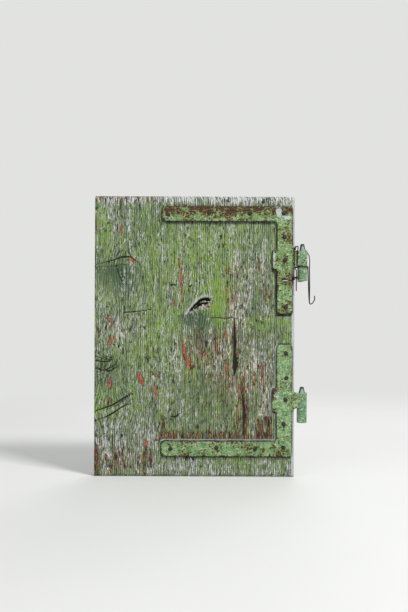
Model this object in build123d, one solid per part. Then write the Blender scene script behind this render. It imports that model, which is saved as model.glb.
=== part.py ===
from build123d import *
import math
import os
from collections import namedtuple

# A small window shutter: one wooden leaf on two angle hinges, hung on two wall pintles.
# Millimetres, +X right, +Y into the wall, +Z up. The wall's face is the plane y = 0.
# The origin is where the lower pintle's tail enters the wall. The leaf is modelled shut.

# Leaf: one softwood board with a batten across each end of its back
LEAF_WIDTH = 400.0
LEAF_HEIGHT = 560.0
LEAF_THICKNESS = 25.0
LEAF_EDGE_WEAR = 2.0
BATTEN_WIDTH = 60.0
BATTEN_THICKNESS = 22.0
BATTEN_INSET = 30.0
BATTEN_CHAMFER = 4.0

# Flat iron, pins and how they fit
STRAP_WIDTH = 30.0
STRAP_THICKNESS = 4.0
STRAP_EDGE_WEAR = 0.6
PIN_RADIUS = 6.0
PIN_RUNNING_CLEARANCE = 0.08
PIN_SEAT_CLEARANCE = 0.02
ROLL_END_ANGLE = 208.0
EYE_SEAT_GAP = 0.3

# Places of the hinge axis and the eyes on the leaf
LEAF_TO_AXIS = 16.0
LOWER_EYE_ABOVE_BOTTOM = 153.0
UPPER_EYE_BELOW_TOP = 122.5

# Angle hinges: outer edges of arm and leg, and the corners of the plate
ARM_LENGTH = 260.0
PLATE_INSET = 5.0
UPPER_ARM_TO_EYE = 102.5
LOWER_ARM_TO_EYE = 112.5
LEG_BEYOND_EYE = 111.0
BULGE_DEPTH = 9.0
BULGE_SLOPE = 4.0
BULGE_CORNER = 4.0
UPPER_BULGE_HEIGHT = 43.0
LOWER_BULGE_HEIGHT = 48.0
UPPER_BULGE_DROP = 3.0
TIP_CORNER = 10.0
LEG_CORNER = 7.0
OUTER_CORNER = 2.0
INNER_CORNER = 6.0
NECK_FILLET_ABOVE = 11.0
NECK_FILLET_BELOW = 14.0

# Pintle pins and the tails that are set in the wall
UPPER_PIN_SHOWS = 13.5
LOWER_PIN_SHOWS = 11.5
PIN_TIP_RADIUS = 2.6
PIN_TIP_ROUND = 2.0
PIN_CHAMFER = 1.0
TAIL_IN_WALL = 80.0
PRONG_LENGTH = 25.0
PRONG_SPREAD = 5.0
PRONG_KERF = 1.0

# Forged nails with hammered heads and square shanks, bent over at the back
NAIL_HEAD_RADIUS = 4.25
NAIL_HEAD_HEIGHT = 3.0
NAIL_HEAD_SIDES = 8
# Flats of a head, from its rim to its top: radius and height, as shares of the head's own
NAIL_HEAD_SHARES = [(1.0, 0.0), (0.94, 0.3), (0.62, 0.8), (0.2, 1.0)]
NAIL_WIDTH = 3.6
NAIL_HOLE_CLEARANCE = 0.05
NAIL_BEND_RADIUS = 2.5
NAIL_TIP_WIDTH = 0.6
CLENCH_LENGTH = 15.0
BATTEN_NAIL_REACH = 38.0
BATTEN_NAIL_POINT = 8.0
# Hinge nails: how far along the arm or the leg from the corner, as a share of its length, and
# how far in from its outer edge, as a share of its width
UPPER_ARM_NAIL_SHARES = [(0.957, 0.56), (0.64, 0.45), (0.327, 0.48), (0.065, 0.45)]
UPPER_LEG_NAIL_SHARES = [(0.287, 0.53), (0.498, 0.47), (0.683, 0.5), (0.942, 0.43)]
LOWER_ARM_NAIL_SHARES = [(0.93, 0.49), (0.577, 0.58), (0.28, 0.53), (0.065, 0.61)]
LOWER_LEG_NAIL_SHARES = [(0.291, 0.53), (0.508, 0.43), (0.702, 0.37), (0.922, 0.4)]
# Batten nails: how far along the batten and how far up from its middle, as shares of its size
BATTEN_NAIL_SHARES = [(0.075, 0.23), (0.22, -0.22), (0.47, 0.25), (0.7, -0.23), (0.94, 0.22)]

# Iron tie wires on the upper hinge and pintle
WIRE_RADIUS = 1.1
WIRE_SIDES = 8
WIRE_BEND = 1.8
WIRE_GAP = 0.3
# Neck wire: how far its two front strands stand off from the turns behind the neck
LEFT_STRAND_TOP = 2.7
LEFT_STRAND_FOOT = 3.3
RIGHT_STRAND_TOP = 1.7
HANGING_STRAND_IN = 1.5
# Its two twists, its free end and its hanging end, measured from the eye's bottom
TWIST_DROP = 23.5
TWIST_PITCH = 2.1
TWIST_RADIUS = 1.7
LEFT_TWIST_LEANS = [8, -6, 10]
RIGHT_TWIST_LEANS = [-7, 6]
FREE_END_LEFT = 22.5
FREE_END_DROP = 31.0
FREE_END_BEND_LEFT = 9.0
FREE_END_BEND_DROP = 30.5
FREE_END_START_DROP = 29.0
HANGING_END_DROP = 51.0
# Pintle wire: where its wrap round the barrel starts and how far round it goes
WRAP_DROP = 0.8
WRAP_START_ANGLE = 165
WRAP_SWEEP_ANGLE = 195
# The wire's fall from the wrap to its small loop: distances right, back and down
WRAP_EXIT = 2.5
WIRE_FALL = [(1.8, 2.5, 50), (4, 15, 64), (5, 15.4, 74), (7.5, 15.6, 77.5)]
WIRE_LOOP = [(12, 15.8, 74), (16, 15.8, 67), (15, 15.6, 60)]
# Its other end, from the top of the loop up beside the barrel and the eye
STANDING_END = [(5, 15.4, 74), (5.4, 15.8, 40), (4.8, 15.8, 1)]
STANDING_END += [(5.4, 15.8, -10), (4.2, 15.8, -21), (-2.8, 15.8, -33)]

# Hook that holds the leaf shut from inside, and its staple
HOOK_FROM_LEFT = 60.0
HOOK_ABOVE_BOTTOM = 300.0
HOOK_BAR_RADIUS = 3.0
HOOK_RING_RADIUS = 8.0
HOOK_REACH = 112.0
HOOK_MOUTH = 18.0
HOOK_TIP = 15.0
HOOK_BEND = 8.0
STAPLE_BAR_RADIUS = 2.5
STAPLE_SPAN = 22.0
STAPLE_BEND = 6.0
STAPLE_STANDOFF = 15.0
STAPLE_DEPTH = 18.0
STAPLE_POINT = 6.0
STAPLE_TIP_RADIUS = 0.5
STAPLE_HOLE_CLEARANCE = 0.05
LINK_GAP = 0.3

# Splits in the board's front: start and end from the lower left corner, width and depth
SPLITS = [
    ((279, 206), (281, 314), 2.2, 5.0),
    ((280, 408), (282, 434), 1.4, 3.0),
    ((298, 80), (300, 170), 1.6, 4.0),
    ((58, 327), (113, 333), 1.8, 4.0),
    ((53, 438), (74, 440), 2.0, 4.0),
    ((43, 421), (61, 378), 1.4, 3.0),
    ((-3, 232), (34, 228), 1.8, 3.5),
    ((-3, 218), (34, 209), 1.5, 3.5),
    ((-3, 127), (56, 158), 1.8, 4.0),
    ((-3, 112), (60, 141), 1.8, 4.0),
    ((154, 117), (172, 125), 1.6, 3.0),
    ((153, 382), (163, 384), 2.6, 4.0),
]
# A split is widest at its near share and still this wide, as a share, at its far share
SPLIT_NEAR = 0.35
SPLIT_FAR = 0.7
SPLIT_FAR_WIDTH = 0.75
# Small holes where old nails and pin knots were: place from the lower left corner and radius
SMALL_HOLES = [
    (48, 259, 2.0),
    (71, 267, 1.2),
    (81, 301.5, 1.2),
    (101, 210, 1.4),
    (190, 380, 1.4),
    (190, 188, 1.2),
    (208.5, 148, 1.5),
    (240, 273.5, 1.6),
    (252, 149, 1.2),
]
SMALL_HOLE_DEPTH = 5.0
# Open knot: outlines, from the lower left corner, of its bowl and the deep crack along its top
KNOT_BOWL = [(186, 326), (194, 327), (201, 335), (208, 338), (220, 335), (226, 337)]
KNOT_BOWL += [(230, 344), (232, 353), (225, 357.5), (218, 357), (210, 353), (198, 343)]
KNOT_BOWL_DEPTH = 3.5
KNOT_BOWL_TAPER = 25
KNOT_CRACK = [(187, 328), (194, 333), (202, 341), (210, 347), (218, 351.5), (226, 352)]
KNOT_CRACK += [(230.5, 353.2), (225, 356.5), (218, 356), (210, 352), (199, 343)]
KNOT_CRACK_DEPTH = 11.0

# Depths, from the wall outwards
LEAF_BACK = 0.0
LEAF_FRONT = LEAF_BACK - LEAF_THICKNESS
PLATE_FRONT = LEAF_FRONT - STRAP_THICKNESS
EYE_BORE = PIN_RADIUS + PIN_RUNNING_CLEARANCE
EYE_OUTER = EYE_BORE + STRAP_THICKNESS
BARREL_BORE = PIN_RADIUS + PIN_SEAT_CLEARANCE
BARREL_OUTER = BARREL_BORE + STRAP_THICKNESS
AXIS_Y = PLATE_FRONT + EYE_OUTER

# Places across and up
AXIS_X = STRAP_THICKNESS / 2 - BARREL_OUTER
LEAF_RIGHT = AXIS_X - LEAF_TO_AXIS
LEAF_LEFT = LEAF_RIGHT - LEAF_WIDTH
PLATE_RIGHT = LEAF_RIGHT - PLATE_INSET
LOWER_EYE_Z = STRAP_WIDTH + EYE_SEAT_GAP
LEAF_BOTTOM = LOWER_EYE_Z - LOWER_EYE_ABOVE_BOTTOM
LEAF_TOP = LEAF_BOTTOM + LEAF_HEIGHT
UPPER_EYE_Z = LEAF_TOP - UPPER_EYE_BELOW_TOP
STAPLE_X = LEAF_LEFT + HOOK_FROM_LEFT
STAPLE_Y = LEAF_BACK + STAPLE_STANDOFF
STAPLE_Z = LEAF_BOTTOM + HOOK_ABOVE_BOTTOM

# side is +1 where the arm is above the eye and -1 where it is below
Hinge = namedtuple("Hinge", "eye_z side arm_to_eye bulge_height bulge_drop arm_nails leg_nails")
UPPER = Hinge(
    eye_z=UPPER_EYE_Z,
    side=1,
    arm_to_eye=UPPER_ARM_TO_EYE,
    bulge_height=UPPER_BULGE_HEIGHT,
    bulge_drop=UPPER_BULGE_DROP,
    arm_nails=UPPER_ARM_NAIL_SHARES,
    leg_nails=UPPER_LEG_NAIL_SHARES,
)
LOWER = Hinge(
    eye_z=LOWER_EYE_Z,
    side=-1,
    arm_to_eye=LOWER_ARM_TO_EYE,
    bulge_height=LOWER_BULGE_HEIGHT,
    bulge_drop=0.0,
    arm_nails=LOWER_ARM_NAIL_SHARES,
    leg_nails=LOWER_LEG_NAIL_SHARES,
)


def arm_middle_z(hinge):
    return hinge.eye_z + hinge.side * (hinge.arm_to_eye - STRAP_WIDTH / 2)


def nail_places(hinge):
    """X and Z of each nail of a hinge."""
    arm_edge = hinge.eye_z + hinge.side * hinge.arm_to_eye
    leg_length = hinge.arm_to_eye + LEG_BEYOND_EYE
    places = [(ARM_LENGTH * along, STRAP_WIDTH * across) for along, across in hinge.arm_nails]
    places += [(STRAP_WIDTH * across, leg_length * along) for along, across in hinge.leg_nails]
    return [(PLATE_RIGHT - left, arm_edge - hinge.side * down) for left, down in places]


def backed_by_batten(x):
    """True where a nail of the hinges goes through the batten too."""
    return x < LEAF_RIGHT - BATTEN_INSET


# Leaf

def spindle(start, end, width):
    """Outline of a split in the grain: pointed at both ends, widest in the middle."""
    a, b = Vector(*start), Vector(*end)
    near, far = a + (b - a) * SPLIT_NEAR, a + (b - a) * SPLIT_FAR
    side = (b - a).normalized().rotate(Axis.Z, 90) * (width / 2)
    far_side = side * SPLIT_FAR_WIDTH
    return Polygon(a, near - side, far - far_side, b, far + far_side, near + side, align=None)


def board_face(outline):
    """Places a flat outline, drawn from the leaf's lower left corner, on the leaf's front."""
    return Plane((LEAF_LEFT, LEAF_FRONT, LEAF_BOTTOM), x_dir=(1, 0, 0), z_dir=(0, -1, 0)) * outline


def split(start, end, width, depth):
    return extrude(board_face(spindle(start, end, width)), -depth)


def small_hole(x, up, radius):
    return extrude(board_face(Pos(x, up) * Circle(radius)), -SMALL_HOLE_DEPTH)


def leaf_board():
    board = Pos(LEAF_LEFT, LEAF_FRONT, LEAF_BOTTOM) * Box(
        LEAF_WIDTH, LEAF_THICKNESS, LEAF_HEIGHT, align=(Align.MIN, Align.MIN, Align.MIN)
    )
    front = board.faces().sort_by(Axis.Y)[0]
    board = fillet(front.edges(), LEAF_EDGE_WEAR)
    board -= [split(*values) for values in SPLITS]
    board -= [small_hole(*values) for values in SMALL_HOLES]
    board -= extrude(board_face(Polygon(*KNOT_BOWL, align=None)), -KNOT_BOWL_DEPTH, taper=KNOT_BOWL_TAPER)
    board -= extrude(board_face(Polygon(*KNOT_CRACK, align=None)), -KNOT_CRACK_DEPTH)
    for hinge in (UPPER, LOWER):
        board -= [nail_hole(x, z) for x, z in nail_places(hinge)]
        board -= [batten_nail_hole(x, z) for x, z in batten_nail_places(hinge)]
    return board - staple_holes()


def batten(hinge):
    length = LEAF_WIDTH - 2 * BATTEN_INSET
    middle = Pos(LEAF_LEFT + BATTEN_INSET, LEAF_BACK, arm_middle_z(hinge))
    bar = middle * Box(length, BATTEN_THICKNESS, BATTEN_WIDTH, align=(Align.MIN, Align.MIN, Align.CENTER))
    back = bar.faces().sort_by(Axis.Y)[-1]
    bar = chamfer(back.edges(), BATTEN_CHAMFER)
    bar -= [nail_hole(x, z) for x, z in nail_places(hinge) if backed_by_batten(x)]
    return bar - [batten_nail_hole(x, z) for x, z in batten_nail_places(hinge)]


# Nails

def nail_hole(x, z):
    """Square hole through plate, leaf and batten."""
    side = NAIL_WIDTH + 2 * NAIL_HOLE_CLEARANCE
    depth = BATTEN_THICKNESS - PLATE_FRONT
    return Pos(x, PLATE_FRONT, z) * Box(side, depth, side, align=(Align.CENTER, Align.MIN, Align.CENTER))


def nail_head():
    """Hammered head with its flat side at y = 0 and its top towards -Y."""
    outlines = [
        Plane.XZ.offset(NAIL_HEAD_HEIGHT * up) * RegularPolygon(NAIL_HEAD_RADIUS * out, NAIL_HEAD_SIDES)
        for out, up in NAIL_HEAD_SHARES
    ]
    return loft(outlines, ruled=True)


def clenched_nail(length):
    """Nail along +Y, bent down and laid flat on the surface that it comes out of at y = length."""
    half = NAIL_WIDTH / 2
    outline = FilletPolyline(
        (0, half),
        (length + NAIL_WIDTH, half),
        (length + NAIL_WIDTH, -CLENCH_LENGTH),
        (length, -CLENCH_LENGTH + NAIL_WIDTH),
        (length, -half),
        (0, -half),
        radius=[0, NAIL_BEND_RADIUS, 0, 0, 0, 0],
        close=True,
    )
    side_view = Plane(origin=(-half, 0, 0), x_dir=(0, 1, 0), z_dir=(1, 0, 0)) * make_face(outline)
    return nail_head() + extrude(side_view, NAIL_WIDTH)


def hinge_nails(hinge):
    nails = []
    for x, z in nail_places(hinge):
        back = BATTEN_THICKNESS if backed_by_batten(x) else LEAF_BACK
        nails.append(Pos(x, PLATE_FRONT, z) * clenched_nail(back - PLATE_FRONT))
    return Compound(children=nails)


def batten_nail_places(hinge):
    left = LEAF_LEFT + BATTEN_INSET
    length = LEAF_WIDTH - 2 * BATTEN_INSET
    middle = arm_middle_z(hinge)
    return [(left + length * along, middle + BATTEN_WIDTH * up) for along, up in BATTEN_NAIL_SHARES]


def batten_nail_shank(clearance):
    """Square shank with a pyramid point, driven towards -Y from the batten's back."""
    side = NAIL_WIDTH + 2 * clearance
    straight = BATTEN_NAIL_REACH - BATTEN_NAIL_POINT
    shank = Box(side, straight, side, align=(Align.CENTER, Align.MAX, Align.CENTER))
    end = Plane(origin=(0, -straight, 0), x_dir=(1, 0, 0), z_dir=(0, -1, 0))
    tip = end.offset(BATTEN_NAIL_POINT + clearance) * Rectangle(NAIL_TIP_WIDTH, NAIL_TIP_WIDTH)
    return shank + loft([end * Rectangle(side, side), tip])


def batten_nail_hole(x, z):
    return Pos(x, BATTEN_THICKNESS, z) * batten_nail_shank(NAIL_HOLE_CLEARANCE)


def batten_nails():
    nail = Rot(0, 0, 180) * nail_head() + batten_nail_shank(0)
    places = batten_nail_places(UPPER) + batten_nail_places(LOWER)
    return Compound(children=[Pos(x, BATTEN_THICKNESS, z) * nail for x, z in places])


# Angle hinges and pintles

def rolled_ring(bore):
    """Section of flat iron rolled round a pin, from the front tangent back to near the strap."""
    outer = bore + STRAP_THICKNESS
    reach = 2 * outer
    end = math.radians(ROLL_END_ANGLE)
    corner = (reach * math.cos(end), reach * math.sin(end))
    open_side = Polygon((0, 0), corner, (-reach, -reach), (0, -reach), align=None)
    return Circle(outer) - Circle(bore) - open_side


def hinge_outline(hinge):
    """Plate of an angle hinge, seen from the front, with its neck up to the pin's axis."""
    leg_left = PLATE_RIGHT - STRAP_WIDTH
    arm_tip = PLATE_RIGHT - ARM_LENGTH
    half = STRAP_WIDTH / 2
    arm_out = hinge.arm_to_eye
    bulge_in = hinge.bulge_height / 2 - hinge.bulge_drop
    bulge_out = -hinge.bulge_height / 2 - hinge.bulge_drop
    fillets = [NECK_FILLET_ABOVE, NECK_FILLET_BELOW][:: hinge.side]
    corners = [
        (arm_tip, arm_out, TIP_CORNER),
        (PLATE_RIGHT, arm_out, OUTER_CORNER),
        (PLATE_RIGHT, half, fillets[0]),
        (AXIS_X, half, 0),
        (AXIS_X, -half, 0),
        (PLATE_RIGHT, -half, fillets[1]),
        (PLATE_RIGHT, -LEG_BEYOND_EYE, LEG_CORNER),
        (leg_left, -LEG_BEYOND_EYE, LEG_CORNER),
        (leg_left, bulge_out, BULGE_CORNER),
        (leg_left - BULGE_DEPTH, bulge_out + BULGE_SLOPE, BULGE_CORNER),
        (leg_left - BULGE_DEPTH, bulge_in - BULGE_SLOPE, BULGE_CORNER),
        (leg_left, bulge_in, BULGE_CORNER),
        (leg_left, arm_out - STRAP_WIDTH, INNER_CORNER),
        (arm_tip, arm_out - STRAP_WIDTH, TIP_CORNER),
    ]
    points = [(x, hinge.eye_z + hinge.side * up) for x, up, _ in corners]
    return make_face(FilletPolyline(*points, radius=[radius for _, _, radius in corners], close=True))


def angle_hinge(hinge):
    slab = extrude(Plane.XZ.offset(-LEAF_FRONT) * hinge_outline(hinge), STRAP_THICKNESS)
    front = slab.faces().sort_by(Axis.Y)[0]
    worn = [edge for edge in front.edges() if edge.center().X < AXIS_X - STRAP_EDGE_WEAR]
    eye = extrude(rolled_ring(EYE_BORE), STRAP_WIDTH)
    whole = chamfer(worn, STRAP_EDGE_WEAR) + Pos(AXIS_X, AXIS_Y, hinge.eye_z - STRAP_WIDTH / 2) * eye
    return whole - [nail_hole(x, z) for x, z in nail_places(hinge)]


def barrel_middle_z(hinge):
    return hinge.eye_z - STRAP_WIDTH - EYE_SEAT_GAP


def prong(lean):
    """One half of the split tail end, leaning sideways so that it keys into the mortar."""
    half = STRAP_THICKNESS / 2
    start = TAIL_IN_WALL - PRONG_LENGTH
    side = Polygon(
        (-half, start), (half, start), (half + lean, TAIL_IN_WALL), (lean - half, TAIL_IN_WALL), align=None
    )
    return extrude(side, (STRAP_WIDTH - PRONG_KERF) / 2)


def pintle_strap(hinge):
    """Flat iron rolled round the pin, with its tail tangent on the right and split at its end."""
    ring = extrude(rolled_ring(BARREL_BORE), STRAP_WIDTH / 2, both=True)
    barrel = Pos(AXIS_X, AXIS_Y, 0) * mirror(ring, Plane(origin=(0, 0, 0), z_dir=(1, 1, 0)))
    tail_length = TAIL_IN_WALL - PRONG_LENGTH - AXIS_Y
    tail = Pos(0, AXIS_Y, 0) * Box(
        STRAP_THICKNESS, tail_length, STRAP_WIDTH, align=(Align.CENTER, Align.MIN, Align.CENTER)
    )
    upper_prong = Pos(0, 0, PRONG_KERF / 2) * prong(PRONG_SPREAD)
    lower_prong = Pos(0, 0, -STRAP_WIDTH / 2) * prong(-PRONG_SPREAD)
    return Pos(0, 0, barrel_middle_z(hinge)) * (barrel + tail + upper_prong + lower_prong)


def pintle_pin(hinge, shows):
    """Pin from the barrel's bottom to a blunt point that shows above the eye."""
    bottom = barrel_middle_z(hinge) - STRAP_WIDTH / 2
    eye_top = hinge.eye_z + STRAP_WIDTH / 2
    tip = eye_top + shows
    outline = FilletPolyline(
        (0, bottom),
        (PIN_RADIUS - PIN_CHAMFER, bottom),
        (PIN_RADIUS, bottom + PIN_CHAMFER),
        (PIN_RADIUS, eye_top + PIN_CHAMFER),
        (PIN_TIP_RADIUS + PIN_TIP_ROUND / 2, tip),
        (0, tip),
        radius=[0, 0, 0, 0, PIN_TIP_ROUND, 0],
        close=True,
    )
    return Pos(AXIS_X, AXIS_Y, 0) * revolve(Plane.XZ * make_face(outline), Axis.Z)


# Tie wires

def bar_along(path, section):
    return sweep(Plane(origin=path @ 0, z_dir=path % 0) * section, path=path)


def wire_section():
    return RegularPolygon(WIRE_RADIUS, WIRE_SIDES)


def fillet_reach(radius, inset):
    """How far a neck fillet stands out from the neck at a distance inside its tangent point."""
    return radius - math.sqrt(radius**2 - min(max(inset, 0), radius) ** 2)


def twist(x, y, top, leans):
    """Rings of wire one below the other round a strand."""
    ring = revolve(Plane.XZ * Pos(TWIST_RADIUS, 0) * wire_section(), Axis.Z)
    rings = [Rot(lean, lean, 0) * ring for lean in leans]
    return [Pos(x, y, top - turns * TWIST_PITCH) * one for turns, one in enumerate(rings)]


def neck_tie_wire():
    """Wire wound twice round the upper neck, with two twists, a free end and a hanging end."""
    off = WIRE_RADIUS + WIRE_GAP
    turn = 2 * WIRE_RADIUS + WIRE_GAP
    front = PLATE_FRONT - off
    back = LEAF_FRONT + off
    behind = back + turn
    left = LEAF_RIGHT + off
    right = AXIS_X - BARREL_OUTER - off - WIRE_GAP
    strand_foot = left - LEFT_STRAND_FOOT
    hanging = right - HANGING_STRAND_IN
    inset = PLATE_RIGHT + NECK_FILLET_BELOW - (left - WIRE_RADIUS)
    eye_bottom = UPPER_EYE_Z - STRAP_WIDTH / 2
    under = eye_bottom - fillet_reach(NECK_FILLET_BELOW, inset) - off
    over = UPPER_EYE_Z + STRAP_WIDTH / 2 + fillet_reach(NECK_FILLET_ABOVE, inset) + off
    route = [
        (strand_foot - FREE_END_LEFT, front - NAIL_HEAD_HEIGHT - WIRE_GAP, eye_bottom - FREE_END_DROP),
        (strand_foot - FREE_END_BEND_LEFT, front - WIRE_RADIUS, eye_bottom - FREE_END_BEND_DROP),
        (strand_foot, front, eye_bottom - FREE_END_START_DROP),
        (left - LEFT_STRAND_TOP, front, over),
        (left + WIRE_GAP, front, over),
        (left, back, over),
        (left, back, under),
        (right, front, under),
        (right + RIGHT_STRAND_TOP, front, over + turn),
        (left + WIRE_GAP, behind, over + turn),
        (left + WIRE_GAP, behind, under - turn),
        (hanging, front, under - 2 * turn),
        (hanging, front, eye_bottom - HANGING_END_DROP),
    ]
    wire = bar_along(FilletPolyline(*route, radius=WIRE_BEND), wire_section())
    top = eye_bottom - TWIST_DROP
    left_twist = twist(strand_foot, front, top, LEFT_TWIST_LEANS)
    right_twist = twist(hanging, front, top, RIGHT_TWIST_LEANS)
    for ring in left_twist + right_twist:
        wire += ring
    return wire


def pintle_tie_wire():
    """Wire round the top of the upper barrel. It hangs to a small loop and comes back up."""
    hug = BARREL_OUTER + WIRE_RADIUS + WIRE_GAP
    side = AXIS_X + hug
    barrel_top = barrel_middle_z(UPPER) + STRAP_WIDTH / 2
    wrap_z = barrel_top - WIRE_RADIUS - WRAP_DROP
    wrap = CenterArc((AXIS_X, AXIS_Y, wrap_z), hug, WRAP_START_ANGLE, WRAP_SWEEP_ANGLE)

    def route(steps):
        return [(side + right, AXIS_Y + back, barrel_top - down) for right, back, down in steps]

    start = [(side, AXIS_Y, wrap_z), (side, AXIS_Y + WRAP_EXIT, wrap_z)]
    hanging = FilletPolyline(*start, *route(WIRE_FALL + WIRE_LOOP), radius=WIRE_BEND)
    standing = FilletPolyline(*route(STANDING_END), radius=WIRE_BEND)
    return bar_along(Wire([wrap] + hanging.edges()), wire_section()) + bar_along(standing, wire_section())


# Inside hook and staple

def staple_legs():
    """X of the staple's two legs, from its middle."""
    return (-STAPLE_SPAN / 2, STAPLE_SPAN / 2)


def staple_holes():
    radius = STAPLE_BAR_RADIUS + STAPLE_HOLE_CLEARANCE
    hole = Rot(90, 0, 0) * Cylinder(radius, STAPLE_DEPTH, align=(Align.CENTER, Align.CENTER, Align.MIN))
    return [Pos(STAPLE_X + x, LEAF_BACK, STAPLE_Z) * hole for x in staple_legs()]


def hook_staple():
    """Round bar bent square, with its crown across and two pointed legs in the leaf's back."""
    left, right = staple_legs()
    end = STAPLE_POINT - STAPLE_STANDOFF - STAPLE_DEPTH
    route = [(left, end, 0), (left, 0, 0), (right, 0, 0), (right, end, 0)]
    bow = bar_along(FilletPolyline(*route, radius=STAPLE_BEND), Circle(STAPLE_BAR_RADIUS))
    on_base = (Align.CENTER, Align.CENTER, Align.MIN)
    point = Rot(90, 0, 0) * Cone(STAPLE_BAR_RADIUS, STAPLE_TIP_RADIUS, STAPLE_POINT, align=on_base)
    points = [Pos(x, end, 0) * point for x in (left, right)]
    return Pos(STAPLE_X, STAPLE_Y, STAPLE_Z) * (bow + points)


def inside_hook():
    """Hook that hangs by its ring in the staple's crown."""
    ring_bore = HOOK_RING_RADIUS - HOOK_BAR_RADIUS
    hang = ring_bore - STAPLE_BAR_RADIUS - LINK_GAP
    ring = Rot(0, 90, 0) * Torus(HOOK_RING_RADIUS, HOOK_BAR_RADIUS)
    route = FilletPolyline(
        (0, 0, -HOOK_RING_RADIUS),
        (0, 0, -HOOK_REACH),
        (-HOOK_MOUTH, 0, -HOOK_REACH),
        (-HOOK_MOUTH, 0, HOOK_TIP - HOOK_REACH),
        radius=HOOK_BEND,
    )
    arm = bar_along(route, Circle(HOOK_BAR_RADIUS))
    return Pos(STAPLE_X, STAPLE_Y, STAPLE_Z - hang) * (ring + arm)


NODES = {
    "leaf_board": leaf_board,
    "upper_batten": lambda: batten(UPPER),
    "lower_batten": lambda: batten(LOWER),
    "batten_nails": batten_nails,
    "upper_angle_hinge": lambda: angle_hinge(UPPER),
    "lower_angle_hinge": lambda: angle_hinge(LOWER),
    "upper_hinge_nails": lambda: hinge_nails(UPPER),
    "lower_hinge_nails": lambda: hinge_nails(LOWER),
    "upper_pintle_strap": lambda: pintle_strap(UPPER),
    "lower_pintle_strap": lambda: pintle_strap(LOWER),
    "upper_pintle_pin": lambda: pintle_pin(UPPER, UPPER_PIN_SHOWS),
    "lower_pintle_pin": lambda: pintle_pin(LOWER, LOWER_PIN_SHOWS),
    "neck_tie_wire": neck_tie_wire,
    "pintle_tie_wire": pintle_tie_wire,
    "hook_staple": hook_staple,
    "inside_hook": inside_hook,
}

os.makedirs("parts", exist_ok=True)
for name, make in NODES.items():
    export_step(make(), f"parts/{name}.step")
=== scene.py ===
import math
from itertools import chain, product
from types import SimpleNamespace

import bpy
import numpy as np
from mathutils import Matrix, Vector


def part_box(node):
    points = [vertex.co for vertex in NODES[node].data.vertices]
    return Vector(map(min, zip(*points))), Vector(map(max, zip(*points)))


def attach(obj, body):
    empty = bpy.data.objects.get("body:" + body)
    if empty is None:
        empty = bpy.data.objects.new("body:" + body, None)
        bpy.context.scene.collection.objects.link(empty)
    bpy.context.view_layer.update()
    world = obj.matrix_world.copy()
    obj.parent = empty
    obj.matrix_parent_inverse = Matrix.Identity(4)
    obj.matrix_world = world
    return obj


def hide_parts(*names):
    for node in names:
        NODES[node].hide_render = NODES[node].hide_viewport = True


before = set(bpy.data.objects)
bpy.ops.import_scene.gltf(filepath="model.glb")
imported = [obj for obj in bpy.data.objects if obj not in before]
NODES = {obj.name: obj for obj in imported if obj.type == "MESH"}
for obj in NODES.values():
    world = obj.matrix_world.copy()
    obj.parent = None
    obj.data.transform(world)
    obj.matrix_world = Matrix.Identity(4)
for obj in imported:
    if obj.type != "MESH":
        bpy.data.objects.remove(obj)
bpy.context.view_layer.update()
MM = 0.001

# The leaf's lowest and highest corners in metres, and its sizes in millimetres
LEAF_LOW, LEAF_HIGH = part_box("leaf_board")
LEAF_WIDTH = (LEAF_HIGH[0] - LEAF_LOW[0]) / MM
LEAF_THICK = (LEAF_HIGH[1] - LEAF_LOW[1]) / MM
LEAF_HEIGHT = (LEAF_HIGH[2] - LEAF_LOW[2]) / MM
# The upright axis that both pins share
PIN_LOW, PIN_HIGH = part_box("lower_pintle_pin")
AXIS_X = (PIN_LOW[0] + PIN_HIGH[0]) / 2
AXIS_Y = (PIN_LOW[1] + PIN_HIGH[1]) / 2
# Across, in metres, where the paint turns from the plates' green to the eyes' bluer one
EYE_STARTS = (-0.026, -0.012)
# Sizes of the even faces of the pieces that are copied from the CAD, in millimetres
IRON_FACE = 1.0
BATTEN_FACE = 2.0


# Smooth random values

class Roughness:
    """Random values that change smoothly in space and repeat after SIZE, the same on every run."""

    SIZE = 32

    def __init__(self, seed):
        self.grid = np.random.default_rng(seed).random((self.SIZE,) * 3)

    def at(self, x, y, z):
        """Values from 0 to 1 that change over a distance of about 1."""
        cells = [np.floor(v).astype(int) for v in (x, y, z)]
        parts = [v - c for v, c in zip((x, y, z), cells)]
        ease = [p * p * (3 - 2 * p) for p in parts]
        total = 0
        for corner in product((0, 1), repeat=3):
            value = self.grid[tuple((c + side) % self.SIZE for c, side in zip(cells, corner))]
            weight = 1
            for part, side in zip(ease, corner):
                weight = weight * (part if side else 1 - part)
            total = total + value * weight
        return total

    def layered(self, x, y, z):
        """Three sizes of change added up, from 0 to 1."""
        total, weight = 0, 0
        for layer in range(3):
            size, share = 2**layer, 0.5**layer
            total = total + share * self.at(x * size, y * size, z * size)
            weight += share
        return total / weight


def ramp(value, low, high):
    """0 below low, 1 above high, and a smooth rise between them."""
    part = np.clip((value - low) / (high - low), 0, 1)
    return part * part * (3 - 2 * part)


# Materials

def colour(red, green, blue):
    """A colour from its 0 to 255 values as a picture shows it."""
    parts = [v / 255 for v in (red, green, blue)]
    return tuple(p / 12.92 if p <= 0.04045 else ((p + 0.055) / 1.055) ** 2.4 for p in parts) + (1.0,)


BACKGROUND = colour(226, 227, 225)


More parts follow.
